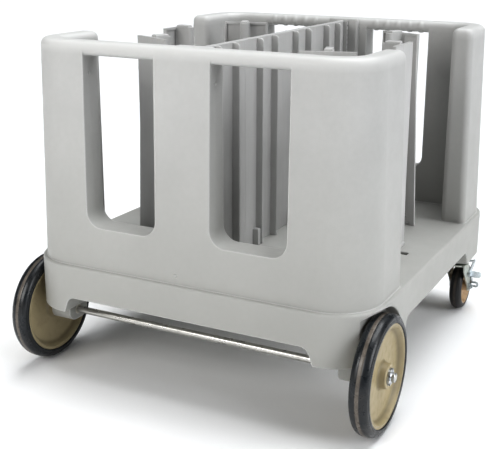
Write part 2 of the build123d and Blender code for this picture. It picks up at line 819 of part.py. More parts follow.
def tower():
    """A T-section tower: flat face at local Y = 0, pocketed wings, and a web with a round end."""
    low = seat_gap
    height = tower_top - deck_height
    flange = block(-tower_width / 2, tower_width / 2, 0, tower_flange, low, height)
    flange = fillet(upright_edges(flange), 2.5)
    wing = tower_width / 2 - tower_web / 2
    for side in (-1, 1):
        x0 = side * (tower_web / 2 + 1)
        x1 = side * (tower_width / 2 - tower_rim)
        flange -= block(x0, x1, tower_flange - tower_pocket, tower_flange + 5, tower_foot_height + 12, height - tower_rim)
    web = block(-tower_web / 2, tower_web / 2, 1, tower_depth, low, height)
    nose = [e for e in upright_edges(web) if abs(e.center().Y - tower_depth) < 1]
    web = fillet(nose, tower_web * 0.42)
    tab = block(-tower_web / 2 + 1, tower_web / 2 - 1, tower_flange, tower_depth - 8, height - 4, height + tower_tab)
    tab = fillet(tab.faces().sort_by(Axis.Z)[-1].edges(), 4)
    wide = tower_width / 2 + tower_foot
    foot = block(-wide, wide, -tower_foot, tower_flange + tower_foot, low, tower_foot_height)
    foot = chamfer(foot.faces().sort_by(Axis.Z)[-1].edges(), tower_foot * 0.9)
    solid = flange + web + tab + foot
    for side in (-1, 1):
        solid += tower_side(side)
    return solid


def tower_side(side):
    """The thin side of a tower, which spreads from nothing below the top to its full reach at the deck."""
    edge = side * (tower_width / 2 - 1)
    plane = Plane(origin=(0, tower_flange, 0), x_dir=(1, 0, 0), z_dir=(0, -1, 0))
    outline = make_face(Polyline(
        (edge, seat_gap), (edge + side * (tower_gusset + 1), seat_gap),
        (edge, tower_top - deck_height - tower_gusset_drop), close=True,
    ))
    return extrude(plane * outline, tower_gusset_plate)


def tower_shoe():
    """The sliding shoe under a tower's web, which fills the slot in the deck."""
    start = shoe_start()
    shoe = block(
        -shoe_width / 2, shoe_width / 2, start, start + shoe_length,
        seat_gap - shoe_depth, seat_gap - 0.02,
    )
    shoe = fillet(upright_edges(shoe), 3)
    return chamfer(shoe.faces().sort_by(Axis.Z)[0].edges(), 1.5)


# ---------------------------------------------------------------- writing the parts

def save(name, solid):
    export_step(solid, f"parts/{name}.step")


save("cart_body", cart_body())

save("vent_plugs", Compound([Pos(0, body_y, 0) * frame * vent_plug() for frame in vent_plug_frames()]))

save("axle_shaft", axle_shaft())
save("axle_washers", axle_washers())
for side, hand in ((-1, "left"), (1, "right")):
    place = (side * wheel_plane_x, axle_y, axle_z)
    save(f"{hand}_axle_bush", axle_bush(side))
    save(f"{hand}_push_nut", push_nut(side))
    save(f"{hand}_wheel_hub", along_x(wheel_hub(), *place))
    save(f"{hand}_wheel_tyre", along_x(wheel_tyre(), *place))
    save(f"{hand}_wheel_bush", along_x(wheel_bush(), *place))

save("caster_bolts", caster_bolts())
caster_axle = (caster_x, caster_y, caster_radius)
caster_parts = {
    "top_plate": caster_top_plate(),
    "ball_race": caster_race(),
    "kingpin": caster_kingpin(),
    "fork": caster_fork(),
    "hub": along_x(caster_hub(), *caster_axle),
    "tyre": along_x(caster_tyre(), *caster_axle),
    "sleeve": along_x(caster_sleeve(), *caster_axle),
    "axle_bolt": along_x(caster_axle_bolt(), *caster_axle),
    "axle_nut": along_x(caster_axle_nut(), *caster_axle),
    "brake_lever": brake_lever(),
    "brake_pin": brake_pin(),
}
for name, solid in caster_parts.items():
    save(f"right_caster_{name}", solid)
    save(f"left_caster_{name}", mirrored(solid))

for index in range(spine_panels):
    save(f"spine_panel_{index + 1}", spine_panel(index))
save("near_spine_rack", spine_rack(-1))
save("far_spine_rack", spine_rack(1))

for name, frame in tower_frames().items():
    save(f"{name}_tower", Pos(0, body_y, 0) * frame * tower())
    save(f"{name}_tower_shoe", Pos(0, body_y, 0) * frame * tower_shoe())

print(f"body middle at y {body_y:.1f}, wheel axle at y {axle_y:.1f}, z {axle_z:.1f}")
print(f"caster pivot at {caster_x:.1f}, {pivot_y:.1f}, wheel axle at y {caster_y:.1f}, z {caster_radius:.1f}")
print(f"brake pivot at y {brake_y():.1f}, z {brake_pivot_height:.1f}, swing {brake_swing():.2f} degrees")
for name, frame in tower_frames().items():
    spot = (Pos(0, body_y, 0) * frame).position
    way = (frame * Pos(0, 1, 0)).position - frame.position
    print(f"{name}: {spot.X:.1f}, {spot.Y:.1f}, slides along {way.X:.4f}, {way.Y:.4f}")
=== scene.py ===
"""Looks of a wheeled plate cart: moulded body, spine, towers, large wheels, casters and the stage."""

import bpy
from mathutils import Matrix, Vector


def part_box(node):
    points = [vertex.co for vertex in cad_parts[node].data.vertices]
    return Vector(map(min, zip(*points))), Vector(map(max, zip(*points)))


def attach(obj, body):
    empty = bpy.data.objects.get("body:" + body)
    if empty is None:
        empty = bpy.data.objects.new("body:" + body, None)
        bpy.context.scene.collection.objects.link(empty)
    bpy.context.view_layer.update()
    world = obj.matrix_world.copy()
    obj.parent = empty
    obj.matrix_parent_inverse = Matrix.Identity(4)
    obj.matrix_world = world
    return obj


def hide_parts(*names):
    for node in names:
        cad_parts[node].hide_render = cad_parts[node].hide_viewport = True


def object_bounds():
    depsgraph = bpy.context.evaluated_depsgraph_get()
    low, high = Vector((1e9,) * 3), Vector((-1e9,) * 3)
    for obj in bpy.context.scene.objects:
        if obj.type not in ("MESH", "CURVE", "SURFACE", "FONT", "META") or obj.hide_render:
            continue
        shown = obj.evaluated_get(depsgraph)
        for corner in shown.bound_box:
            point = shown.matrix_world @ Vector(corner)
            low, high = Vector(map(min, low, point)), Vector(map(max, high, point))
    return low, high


bl_info = {
    "name": "Plate Cart Looks",
    "version": (1, 0, 0),
    "blender": (4, 5, 0),
    "location": "View3D > Sidebar > Plate Cart",
    "description": "Dresses the cart's parts and sets the floor, the light and the camera",
    "category": "Object",
}

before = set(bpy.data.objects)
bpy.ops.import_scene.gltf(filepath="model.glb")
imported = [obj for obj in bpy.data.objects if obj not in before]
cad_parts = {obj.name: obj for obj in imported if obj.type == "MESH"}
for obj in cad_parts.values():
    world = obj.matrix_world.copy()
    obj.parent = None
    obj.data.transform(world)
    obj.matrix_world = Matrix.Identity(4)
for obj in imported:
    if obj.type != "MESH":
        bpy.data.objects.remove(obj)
import math

import bpy
import numpy as np
from mathutils import Matrix, Vector

HANDS = ("left", "right")
TOWERS = [f"{hand}_{place}" for hand in HANDS for place in ("near", "middle", "far")]
CAD_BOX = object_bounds()
RAIL_TOP = float(np.asarray(CAD_BOX)[1][2])

# Heights in metres between which the moulding's painted shade at its foot fades out, and how far under the rail's
# top the painted highlight along its top begins and is complete.
SHADED_FULLY, SHADED_NO_MORE = 0.15, 0.65
HIGHLIGHT_BEGINS, HIGHLIGHT_FULLY = 0.027, 0.002

# Room between a turned piece and what it sits on, so that their faces don't lie in one another.
SEAT_GAP = 0.0001

# Painted shade in a large wheel's dish, as darker rings round the axle: (radius, half width, share) in metres.
DISH_CORNER_SHADE = (0.094, 0.006, 0.55)
BOSS_FOOT_SHADE = (0.029, 0.005, 0.5)
LIP_SHADE = (0.1025, 0.0014, 0.5)

# Rounds in metres that the finishes give the sharp edges of the body and of the spine and towers.
BODY_EDGE, TOWER_EDGE = 0.006, 0.0012

# The key light is a square box in front of the cart, with its place, aim and size in metres. The fill and the top
# light come from a direction and are as wide in the sky as their spread in degrees.
KEY_PLACE, KEY_AIM, KEY_SIZE = (-0.9, -2.7, 1.75), (0.0, -0.3, 0.5), 1.6
FILL_SOURCE, FILL_SPREAD = (1.0, -0.05, 0.5), 40
TOP_SOURCE, TOP_SPREAD = (0.1, 0.3, 1.0), 50
DISPLAY_GAMMA = 0.8

# The camera, found from the photograph's edges: its place in metres, its turns in radians, the frame in pixels and
# the pixel of the frame that it faces.
CAMERA_PLACE = (0.97039, -2.010217, 0.969688)
CAMERA_YAW, CAMERA_PITCH, CAMERA_ROLL = 0.45971, 0.28210, 0.00896
FRAME_WIDTH, FRAME_HEIGHT = 500.0, 449.0
FACED_X, FACED_Y = 266.772, 209.441


def centre_and_radius(node):
    """Middle of a node's box, and half its height: the axle point and the radius of a wheel piece."""
    low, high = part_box(node)
    return np.array((low + high) / 2), (high.z - low.z) / 2


def width_of(node):
    """How wide a node is along X."""
    low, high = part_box(node)
    return high.x - low.x


# ------------------------------------------------------------------ settings


def colour_setting(name, description, default):
    """A colour that the user can change."""
    return bpy.props.FloatVectorProperty(
        name=name, description=description, subtype="COLOR", size=3, default=default, min=0, max=1
    )


def length_setting(name, description, default, low, high):
    """A length in metres that the user can change."""
    return bpy.props.FloatProperty(
        name=name, description=description, unit="LENGTH", default=default, min=low, max=high
    )


def light_setting(name, description, default, high):
    """The strength of a light, from nothing to high."""
    return bpy.props.FloatProperty(name=name, description=description, default=default, min=0, max=high)


class CartBodySettings(bpy.types.PropertyGroup):
    """Colours and grain of the mouldings"""

    body_colour: colour_setting("Body", "Colour of the moulded body", (0.466, 0.465, 0.455))
    tower_colour: colour_setting("Towers", "Colour of the spine and the towers", (0.500, 0.498, 0.490))
    grain_size: length_setting("Grain size", "Size of the moulding's fine grain", 0.0022, 0.0005, 0.02)
    grain_depth: length_setting("Grain depth", "Depth of the moulding's fine grain", 0.00012, 0, 0.002)


class CartWheelSettings(bpy.types.PropertyGroup):
    """Colours and sizes of the large wheels"""

    rubber_colour: colour_setting("Rubber", "Colour of the large tyres", (0.014, 0.017, 0.020))
    band_colour: colour_setting("Band", "Colour of the band round the large tyres", (0.150, 0.130, 0.110))
    centre_colour: colour_setting("Wheel centre", "Colour of the moulded wheel centres", (0.385, 0.325, 0.200))
    band_width: length_setting("Band width", "Width of the band round the large tyres", 0.008, 0.001, 0.02)
    segments: bpy.props.IntProperty(
        name="Segments", description="Faces round each turned surface", default=192, min=24, max=512
    )


class CartStageSettings(bpy.types.PropertyGroup):
    """The floor, the lens and the lights"""

    floor_colour: colour_setting("Floor", "Colour of the floor", (0.86, 0.86, 0.86))
    lens: bpy.props.FloatProperty(
        name="Lens", description="Focal length of the camera in millimetres", default=67.392, min=10, max=300
    )
    key_power: light_setting("Key light", "Power of the soft light at the front left in watts", 52.0, 1000)
    fill_power: light_setting("Fill light", "Strength of the soft light from the right", 2.0, 20)
    top_power: light_setting("Top light", "Strength of the soft light from above", 3.1, 20)
    sky_strength: light_setting("Sky", "Strength of the even light from all round", 0.10, 10)


# ------------------------------------------------------------------ surfaces


def wrapped_faces(rows, columns):
    """Quads of a grid that closes on itself both ways: cell (i, j) joins i, i+1 and j, j+1, counted round."""
    i, j = np.meshgrid(np.arange(rows), np.arange(columns), indexing="ij")
    i2, j2 = (i + 1) % rows, (j + 1) % columns
    corners = [i * columns + j, i2 * columns + j, i2 * columns + j2, i * columns + j2]
    return np.stack(corners, axis=-1).reshape(-1, 4)


def new_piece(name, points, faces, material):
    """A mesh object from an array of points and an array of faces, shaded smooth."""
    mesh = bpy.data.meshes.new(name)
    mesh.from_pydata(points.reshape(-1, 3).tolist(), [], faces.tolist())
    mesh.polygons.foreach_set("use_smooth", np.ones(len(mesh.polygons), bool))
    mesh.materials.append(material)
    mesh.update()
    piece = bpy.data.objects.new(name, mesh)
    bpy.context.scene.collection.objects.link(piece)
    return piece


def turned(name, profile, centre, material, segments):
    """A closed profile of (offset, radius) pairs turned about an axle along X through centre.

    Point (a, t) lies at centre + (offset(a), radius(a) cos t, radius(a) sin t). The sign of the profile's
    area, by the shoelace formula, says which way it runs, and faces that would point in are turned over.
    """
    profile = np.asarray(profile, float)
    turn = np.linspace(0, 2 * np.pi, segments, endpoint=False)
    x = np.repeat(profile[:, :1], segments, axis=1)
    y = profile[:, 1:2] * np.cos(turn)[None, :]
    z = profile[:, 1:2] * np.sin(turn)[None, :]
    points = np.stack([x, y, z], axis=-1) + np.asarray(centre)
    offset, radius = profile.T
    area = np.sum(offset * np.roll(radius, -1) - np.roll(offset, -1) * radius)
    faces = wrapped_faces(len(profile), segments)
    if area > 0:
        faces = faces[:, ::-1]
    return new_piece(name, points, faces, material)


def rounded(corners, steps=7):
    """A closed outline whose corners are arcs. corners are (x, y, radius); each arc touches both its sides.

    The arc's centre lies on the corner's bisector at radius / sin(half angle), and its ends lie on the sides at
    radius / tan(half angle). An arc takes up at most 0.49 of a side, so that two of them never meet.
    """
    corners = np.asarray(corners, float)
    here, radius = corners[:, :2], corners[:, 2]
    back = np.roll(here, 1, axis=0) - here
    ahead = np.roll(here, -1, axis=0) - here
    back_length = np.linalg.norm(back, axis=1, keepdims=True)
    ahead_length = np.linalg.norm(ahead, axis=1, keepdims=True)
    back, ahead = back / back_length, ahead / ahead_length
    half = np.arccos(np.clip(np.sum(back * ahead, axis=1), -1, 1)) / 2
    room = 0.49 * np.minimum(back_length, ahead_length)[:, 0]
    reach = np.minimum(radius / np.tan(half), room)
    radius = reach * np.tan(half)
    bisector = back + ahead
    bisector /= np.maximum(np.linalg.norm(bisector, axis=1, keepdims=True), 1e-12)
    middle = here + bisector * (radius / np.sin(half))[:, None]
    start = here + back * reach[:, None] - middle
    end = here + ahead * reach[:, None] - middle
    a0 = np.arctan2(start[:, 1], start[:, 0])
    sweep = (np.arctan2(end[:, 1], end[:, 0]) - a0 + np.pi) % (2 * np.pi) - np.pi
    t = np.linspace(0, 1, steps)
    angle = a0[:, None] + sweep[:, None] * t[None, :]
    spokes = np.stack([np.cos(angle), np.sin(angle)], axis=-1)
    arc = middle[:, None, :] + radius[:, None, None] * spokes
    return arc.reshape(-1, 2)


def both_sides(side):
    """One side's (offset, radius, rounding) corners, from the bore outwards, followed by their mirror image back."""
    return side + [(-offset, radius, rounding) for offset, radius, rounding in reversed(side)]


# ------------------------------------------------------------------ materials


class Finish:
    """A node material with a Principled shader, and short ways to add the nodes that finishes share."""

    def __init__(self, name, colour, roughness, metallic=0.0, **constants):
        self.material = bpy.data.materials.new(name)
        self.material.use_nodes = True
        self.material.diffuse_color = (*colour, 1.0)
        self.tree = self.material.node_tree
        self.shader = self.tree.nodes["Principled BSDF"]
        self.shader.inputs["Base Color"].default_value = (*colour, 1.0)
        self.shader.inputs["Roughness"].default_value = roughness
        self.shader.inputs["Metallic"].default_value = metallic
        for socket, value in constants.items():
            self.shader.inputs[socket.replace("_", " ")].default_value = value
        self.place = self.tree.nodes.new("ShaderNodeTexCoord").outputs["Object"]

    def link(self, output, node_input):
        self.tree.links.new(output, node_input)

    def node(self, kind, **settings):
        node = self.tree.nodes.new(kind)
        for key, value in settings.items():
            setattr(node, key, value)
        return node

    def noise(self, size, detail=2.0, stretch=(1, 1, 1), distortion=0.0):
        """Noise whose features are about size metres across."""
        mapping = self.node("ShaderNodeMapping")
        mapping.inputs["Scale"].default_value = stretch
        self.link(self.place, mapping.inputs["Vector"])
        noise = self.node("ShaderNodeTexNoise")
        noise.inputs["Scale"].default_value = 1.0 / size
        noise.inputs["Detail"].default_value = detail
        noise.inputs["Distortion"].default_value = distortion
        self.link(mapping.outputs["Vector"], noise.inputs["Vector"])
        return noise.outputs["Fac"]

    def speckle(self, size):
        """Cells about size metres across, for the mottle of zinc plate."""
        cells = self.node("ShaderNodeTexVoronoi")
        cells.inputs["Scale"].default_value = 1.0 / size
        self.link(self.place, cells.inputs["Vector"])
        return cells.outputs["Distance"]

    def height(self):
        """The height above the floor."""
        split = self.node("ShaderNodeSeparateXYZ")
        self.link(self.place, split.inputs["Vector"])
        return split.outputs["Z"]

    def distance_from_plane(self, axis, at):
        """How far a point is from the plane where that axis is at."""
        split = self.node("ShaderNodeSeparateXYZ")
        self.link(self.place, split.inputs["Vector"])
        away = self.maths("SUBTRACT", split.outputs[axis], at)
        return self.maths("ABSOLUTE", away)

    def distance_from_axle(self, axle):
        """How far a point is from the line along X through axle, given as (y, z)."""
        split = self.node("ShaderNodeSeparateXYZ")
        self.link(self.place, split.inputs["Vector"])
        y = self.maths("SUBTRACT", split.outputs["Y"], float(axle[0]))
        z = self.maths("SUBTRACT", split.outputs["Z"], float(axle[1]))
        squares = self.maths("ADD", self.maths("MULTIPLY", y, y), self.maths("MULTIPLY", z, z))
        return self.maths("SQRT", squares)

    def maths(self, operation, a, b=None):
        """One Math node on sockets or numbers."""
        node = self.node("ShaderNodeMath", operation=operation)
        for place, value in enumerate((a, b)):
            if value is None:
                continue
            if isinstance(value, (int, float)):
                node.inputs[place].default_value = value
            else:
                self.link(value, node.inputs[place])
        return node.outputs["Value"]

    def ramp(self, value, low, high, low_to=0.0, high_to=1.0):
        """value from low..high taken to low_to..high_to, held at the ends."""
        node = self.node("ShaderNodeMapRange")
        node.inputs["From Min"].default_value = low
        node.inputs["From Max"].default_value = high
        node.inputs["To Min"].default_value = low_to
        node.inputs["To Max"].default_value = high_to
        self.link(value, node.inputs["Value"])
        return node.outputs["Result"]

    def mix(self, factor, first, second):
        """A colour between two colours, or between a socket and a colour."""
        node = self.node("ShaderNodeMix", data_type="RGBA")
        if isinstance(factor, (int, float)):
            node.inputs["Factor"].default_value = factor
        else:
            self.link(factor, node.inputs["Factor"])
        for name, value in (("A", first), ("B", second)):
            sockets = [s for s in node.inputs if s.name == name and s.type == "RGBA"]
            if isinstance(value, bpy.types.NodeSocket):
                self.link(value, sockets[0])
            else:
                sockets[0].default_value = (*value[:3], 1.0)
        return [s for s in node.outputs if s.type == "RGBA"][0]

    def soft_edges(self, radius):
        """Normals that turn over sharp edges as over a round of that radius."""
        edges = self.node("ShaderNodeBevel", samples=8)
        edges.inputs["Radius"].default_value = radius
        return edges.outputs["Normal"]

    def painted_edge_highlight(self, soft_normal, low, high, share):
        """A painted highlight along edges: grows from 0 to share where the soft normal leaves the face's own: one
        less their dot product.
        """
        face = self.node("ShaderNodeNewGeometry")
        product = self.node("ShaderNodeVectorMath", operation="DOT_PRODUCT")
        self.link(soft_normal, product.inputs[0])
        self.link(face.outputs["Normal"], product.inputs[1])
        return self.ramp(self.maths("SUBTRACT", 1.0, product.outputs["Value"]), low, high, 0.0, share)

    def bump(self, *layers, normal=None):
        """Bumps from (height socket, depth in metres) layers, one after the other, over a normal if one is given."""
        for height, depth in layers:
            node = self.node("ShaderNodeBump")
            node.inputs["Strength"].default_value = 1.0
            node.inputs["Distance"].default_value = depth
            self.link(height, node.inputs["Height"])
            if normal is not None:
                self.link(normal, node.inputs["Normal"])
            normal = node.outputs["Normal"]
        self.link(normal, self.shader.inputs["Normal"])

    def colour(self, socket):
        self.link(socket, self.shader.inputs["Base Color"])

    def roughness(self, socket):
        self.link(socket, self.shader.inputs["Roughness"])


def shade(colour, factor):
    """The colour made lighter or darker by a factor."""
    return tuple(min(1.0, c * factor) for c in colour)


def moulded_plastic(name, colour, roughness, grain_size, grain_depth):
    """Rotationally moulded polyethylene: soft cloudy tone, fine orange peel and slightly uneven sheen.

    It has painted shade, darker and warmer towards the floor, a painted highlight under the rail's top, and a
    painted highlight that pales its softened edges.
    """
    finish = Finish(name, colour, roughness, Specular_IOR_Level=0.42)
    cloud = finish.noise(size=0.16, detail=3.0)
    fine = finish.noise(size=0.012, detail=4.0)
    tone = finish.mix(finish.ramp(cloud, 0.3, 0.7), shade(colour, 0.955), shade(colour, 1.035))
    tone = finish.mix(finish.ramp(fine, 0.35, 0.75, 0.0, 0.22), tone, shade(colour, 0.86))
    # Painted shade: darker and warmer towards the floor.
    painted_low_shade = finish.ramp(finish.height(), SHADED_FULLY, SHADED_NO_MORE, 0.55, 0.0)
    tone = finish.mix(painted_low_shade, tone, (colour[0] * 0.75, colour[1] * 0.75, colour[2] * 0.70))
    # Painted highlight: lighter just under the rail's top.
    painted_top_highlight = finish.ramp(finish.height(), RAIL_TOP - HIGHLIGHT_BEGINS, RAIL_TOP - HIGHLIGHT_FULLY, 0.0, 1.0)
    tone = finish.mix(painted_top_highlight, tone, shade(colour, 1.27))
    soft = finish.soft_edges(BODY_EDGE)
    # Painted highlight: paler where the softened normal turns over an edge.
    finish.colour(finish.mix(finish.painted_edge_highlight(soft, 0.01, 0.15, 0.8), tone, shade(colour, 1.4)))
    sheen = finish.noise(size=0.05, detail=3.0)
    finish.roughness(finish.ramp(sheen, 0.3, 0.7, roughness - 0.06, roughness + 0.06))
    grain = (finish.noise(size=grain_size, detail=2.0), grain_depth)
    waves = (finish.noise(size=0.03, detail=2.0), grain_depth * 1.5)
    finish.bump(grain, waves, normal=soft)
    return finish.material


def extruded_plastic(name, colour, roughness):
    """Extruded plastic with faint lines that run up the piece, and a painted highlight that pales its edges."""
    finish = Finish(name, colour, roughness, Specular_IOR_Level=0.4)
    lines = finish.noise(size=0.004, detail=2.0, stretch=(1, 1, 0.02))
    cloud = finish.noise(size=0.11, detail=3.0)
    tone = finish.mix(finish.ramp(cloud, 0.3, 0.7), shade(colour, 0.95), shade(colour, 1.04))
    tone = finish.mix(finish.ramp(lines, 0.4, 0.7, 0.0, 0.18), tone, shade(colour, 0.85))
    soft = finish.soft_edges(TOWER_EDGE)
    # Painted highlight: paler along the edges.
    finish.colour(finish.mix(finish.painted_edge_highlight(soft, 0.03, 0.25, 0.5), tone, shade(colour, 1.3)))
    finish.roughness(finish.ramp(lines, 0.3, 0.7, roughness - 0.05, roughness + 0.07))
    finish.bump((lines, 0.00006), (finish.noise(size=0.002, detail=2.0), 0.00005), normal=soft)
    return finish.material


def tyre_rubber(name, colour, band_colour, plane_x, band_width, roughness=0.28):
    """Glossy rubber with a lighter moulded band round the middle of the tread and dusty sidewalls."""
    finish = Finish(name, colour, roughness, Specular_IOR_Level=0.5)
    away = finish.distance_from_plane("X", plane_x)
    blur = 0.0006
    wobble = finish.ramp(finish.noise(size=0.02, detail=2.0), 0, 1, -blur, blur)
    away = finish.maths("ADD", away, wobble)
    band = finish.ramp(away, band_width / 2 - blur, band_width / 2 + blur, 1.0, 0.0)
    dust = finish.ramp(finish.noise(size=0.03, detail=5.0), 0.45, 0.8, 0.0, 0.22)
    tone = finish.mix(dust, colour, shade(band_colour, 0.55))
    worn = finish.ramp(finish.noise(size=0.012, detail=4.0), 0.35, 0.7)
    wear = finish.mix(worn, shade(band_colour, 0.75), shade(band_colour, 1.15))
    finish.colour(finish.mix(band, tone, wear))
    sheen = finish.noise(size=0.018, detail=4.0)
    finish.roughness(finish.ramp(sheen, 0.3, 0.7, roughness - 0.08, roughness + 0.14))
    finish.bump((finish.noise(size=0.006, detail=3.0), 0.00015), (finish.noise(size=0.0012, detail=2.0), 0.00005))
    return finish.material


def wheel_plastic(name, colour, roughness=0.38, axle=None, rings=()):
    """Moulded plastic with faint flow marks and a little grime, and painted shade in rings round the axle.

    axle is (y, z), and each ring is (radius, half width, share): the painted shade fades out linearly from its
    middle.
    """
    finish = Finish(name, colour, roughness, Specular_IOR_Level=0.5)
    flow = finish.noise(size=0.045, detail=4.0, distortion=1.2)
    grime_and_shade = finish.noise(size=0.016, detail=6.0)
    tone = finish.mix(finish.ramp(flow, 0.3, 0.7), shade(colour, 0.93), shade(colour, 1.05))
    tone = finish.mix(finish.ramp(grime_and_shade, 0.55, 0.8, 0.0, 0.45), tone, shade(colour, 0.62))
    # Painted shade: darker rings round the axle at the dish's corners, the boss's foot and under the lip.
    for radius, half_width, share in rings:
        out = finish.maths("SUBTRACT", finish.distance_from_axle(axle), radius)
        ring_shade = finish.ramp(finish.maths("ABSOLUTE", out), 0.0, half_width, share, 0.0)
        tone = finish.mix(ring_shade, tone, shade(colour, 0.35))
    finish.colour(tone)
    finish.roughness(finish.ramp(grime_and_shade, 0.3, 0.75, roughness - 0.05, roughness + 0.15))
    finish.bump((finish.noise(size=0.005, detail=2.0), 0.00008), (flow, 0.0003))
    return finish.material


def plated_steel(name, colour, roughness):
    """Zinc plate: bright metal with a fine crystalline mottle."""
    finish = Finish(name, colour, roughness, metallic=1.0)
    mottle = finish.speckle(0.004)
    cloud = finish.noise(size=0.01, detail=4.0)
    tone = finish.mix(finish.ramp(mottle, 0.1, 0.6), shade(colour, 0.86), shade(colour, 1.08))
    tone = finish.mix(finish.ramp(cloud, 0.5, 0.8, 0.0, 0.5), tone, shade(colour, 0.66))
    finish.colour(tone)
    finish.roughness(finish.ramp(cloud, 0.3, 0.7, roughness - 0.07, roughness + 0.12))
    finish.bump((finish.noise(size=0.0015, detail=3.0), 0.00006))
    return finish.material


def drawn_steel(name, colour, roughness):
    """Drawn bar: fine lines along the axle."""
    finish = Finish(name, colour, roughness, metallic=1.0)
    lines = finish.noise(size=0.0015, detail=3.0, stretch=(0.02, 1, 1))
    spots = finish.noise(size=0.02, detail=5.0)
    tone = finish.mix(finish.ramp(lines, 0.3, 0.7), shade(colour, 0.86), shade(colour, 1.06))
    tone = finish.mix(finish.ramp(spots, 0.55, 0.8, 0.0, 0.4), tone, shade(colour, 0.5))
    finish.colour(tone)
    finish.roughness(finish.ramp(spots, 0.3, 0.7, roughness - 0.05, roughness + 0.12))
    finish.bump((lines, 0.00003))
    return finish.material


def dress(nodes, material):
    """Give CAD nodes one material."""
    for node in nodes:
        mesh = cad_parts[node].data
        mesh.materials.clear()
        mesh.materials.append(material)


# ------------------------------------------------------------------ operators


class CART_OT_body(bpy.types.Operator):
    """Finish the moulded body and its plugs"""

    bl_idname = "cart.body"
    bl_label = "Moulded Body"

    def execute(self, context):
        settings = context.scene.cart_body
        grain = settings.grain_size, settings.grain_depth
        dress(["cart_body"], moulded_plastic("body grey polyethylene", settings.body_colour, 0.50, *grain))
        plug_colour = shade(settings.body_colour, 1.06)
        dress(["vent_plugs"], moulded_plastic("pale plug plastic", plug_colour, 0.4, 0.002, 0.00004))
        return {"FINISHED"}


class CART_OT_spine(bpy.types.Operator):
    """Finish the spine, its racks, the towers and their shoes"""

    bl_idname = "cart.spine"
    bl_label = "Spine and Towers"

    def execute(self, context):
        settings = context.scene.cart_body
        plastic = extruded_plastic("tower plastic", settings.tower_colour, 0.42)
        panels = [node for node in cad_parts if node.startswith("spine_panel")]
        racks = [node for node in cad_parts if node.endswith("spine_rack")]
        dress(panels + racks + [f"{tower}_tower" for tower in TOWERS], plastic)
        nylon = wheel_plastic("natural nylon", (0.58, 0.56, 0.48), 0.45)
        dress([f"{tower}_tower_shoe" for tower in TOWERS], nylon)
        dress([f"{hand}_{piece}" for hand in HANDS for piece in ("axle_bush", "wheel_bush")], nylon)
        return {"FINISHED"}


def tyre_outline(width, radius, seat, band_width, count=96):
    """Section of a large tyre as (offset, radius).

    A superellipse: offset = half width * sign(cos t) |cos t|^(2/n), height = (radius - seat) |sin t|^(2/n) over the
    seat, with n = 2.7. Two narrow grooves (a Gaussian each) bound the middle band, and a shallow one rings each
    sidewall at about a third of its height.
    """
    groove_depth, groove_width = 0.0005, 0.0007
    ring_depth, ring_at, ring_width = 0.0006, 0.35, 0.06
    t = np.linspace(0, np.pi, count)
    power = 2 / 2.7
    x = width / 2 * np.sign(np.cos(t)) * np.abs(np.cos(t)) ** power
    height = np.abs(np.sin(t)) ** power
    groove = groove_depth * np.exp(-(((np.abs(x) - band_width / 2) / groove_width) ** 2))
    sidewall = np.abs(x) > 0.3 * width
    ring = ring_depth * np.exp(-(((height - ring_at) / ring_width) ** 2)) * sidewall
    x = x - np.sign(x) * ring
    r = seat + (radius - seat) * height - groove
    return np.stack([x, np.maximum(r, seat)], axis=-1)


def wheel_centre_outline(width, boss, rim_radius, bore):
    """Section of a large wheel's centre: rim band with rolled lips, flat web set deep, tapered boss, bore."""
    web = 0.0045
    boss_nose, boss_shoulder, boss_foot = 0.0242, 0.0260, 0.0282
    half = width / 2 - 0.002
    lip = rim_radius - 0.006
    side = [
        (boss, bore, 0.0003),
        (boss, boss_nose, 0.0018),
        (boss - 0.002, boss_shoulder, 0.0006),
        (web, boss_foot, 0.008),
        (web, lip - 0.012, 0.010),
        (half - 0.003, lip - 0.0035, 0.002),
        (half, lip - 0.0020, 0.0012),
        (half, rim_radius - 0.0012, 0.0012),
        (half - 0.0025, rim_radius, 0.001),
    ]
    return rounded(both_sides(side), 6)


def turn_piece(name, outline, centre, material, segments, body, slot, node):
    """Turn one wheel piece that rides on a body, takes the given finish and replaces a CAD node."""
    piece = turned(name, outline, centre, material, segments)
    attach(piece, body)
    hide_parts(node)


class CART_OT_large_wheels(bpy.types.Operator):
    """Turn the large tyres and wheel centres as smooth surfaces"""

    bl_idname = "cart.large_wheels"
    bl_label = "Large Wheels"

    def execute(self, context):
        settings = context.scene.cart_wheels
        axle = centre_and_radius("right_wheel_tyre")[0][1:]
        # Painted shade in rings round the axle, with the centre's random grime.
        grime_and_shade = (DISH_CORNER_SHADE, BOSS_FOOT_SHADE, LIP_SHADE)
        centre_finish = wheel_plastic("beige wheel centre", settings.centre_colour, axle=axle, rings=grime_and_shade)
        for hand in HANDS:
            body, tyre, hub = f"{hand}_wheel", f"{hand}_wheel_tyre", f"{hand}_wheel_hub"
            width, boss = width_of(tyre), width_of(hub) / 2
            middle, radius = centre_and_radius(tyre)
            _, rim_radius = centre_and_radius(hub)
            _, bore = centre_and_radius(f"{hand}_wheel_bush")
            rubber = tyre_rubber(
                f"{hand} tyre rubber", settings.rubber_colour, settings.band_colour, middle[0], settings.band_width
            )
            outline = tyre_outline(width, radius, rim_radius + SEAT_GAP, settings.band_width)
            place = middle, rubber, settings.segments
            turn_piece(f"{hand}_large_tyre", outline, *place, body, "wheel_tread", tyre)
            outline = wheel_centre_outline(width, boss, rim_radius, bore)
            place = middle, centre_finish, settings.segments
            turn_piece(f"{hand}_large_wheel_centre", outline, *place, body, "wheel_centre", hub)
        return {"FINISHED"}


class CART_OT_axle(bpy.types.Operator):
    """Finish the axle, its washers and its push nuts"""

    bl_idname = "cart.axle"
    bl_label = "Axle"

    def execute(self, context):
        dress(["axle_shaft"], drawn_steel("drawn axle steel", (0.62, 0.61, 0.58), 0.28))
        bright = plated_steel("bright zinc", (0.56, 0.58, 0.60), 0.30)
        dress(["axle_washers", "left_push_nut", "right_push_nut"], bright)
        return {"FINISHED"}


